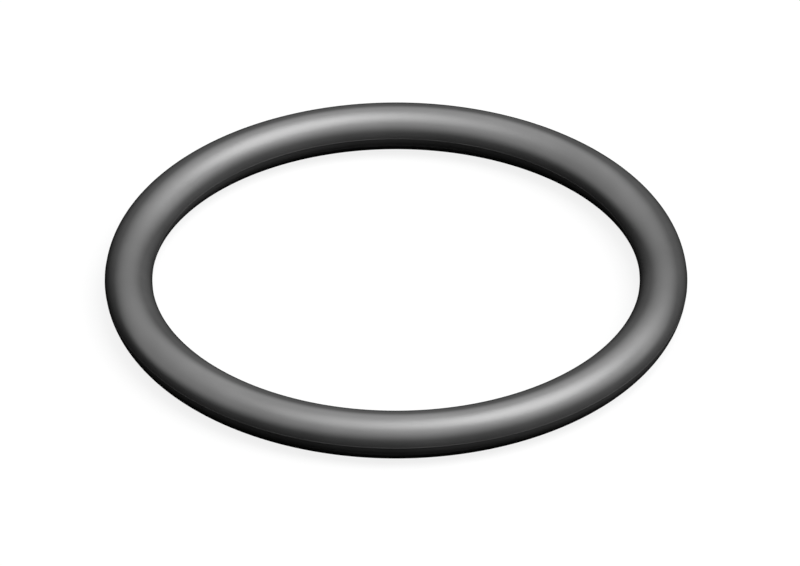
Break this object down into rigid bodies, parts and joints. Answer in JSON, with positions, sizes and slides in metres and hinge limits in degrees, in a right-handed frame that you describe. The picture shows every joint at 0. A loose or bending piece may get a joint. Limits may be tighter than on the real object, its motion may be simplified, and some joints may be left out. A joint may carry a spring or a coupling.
{
  "type": "o-ring",
  "caption": "Silicone O-ring, an endless moulded ring of round section that seals the gap between a shaft or plug and its bore.",
  "frame": {"origin": "centre of the ring, in the parting plane of its mould", "axes": "+Z along the ring's axis; +X and +Y lie in the plane of the ring, which is the same all round"},
  "size_m": [0.043, 0.043, 0.0034],
  "materials": {
    "silicone": "satin"
  },
  "bodies": {
    "root": {"o_ring": "silicone"}
  },
  "joints": []
}
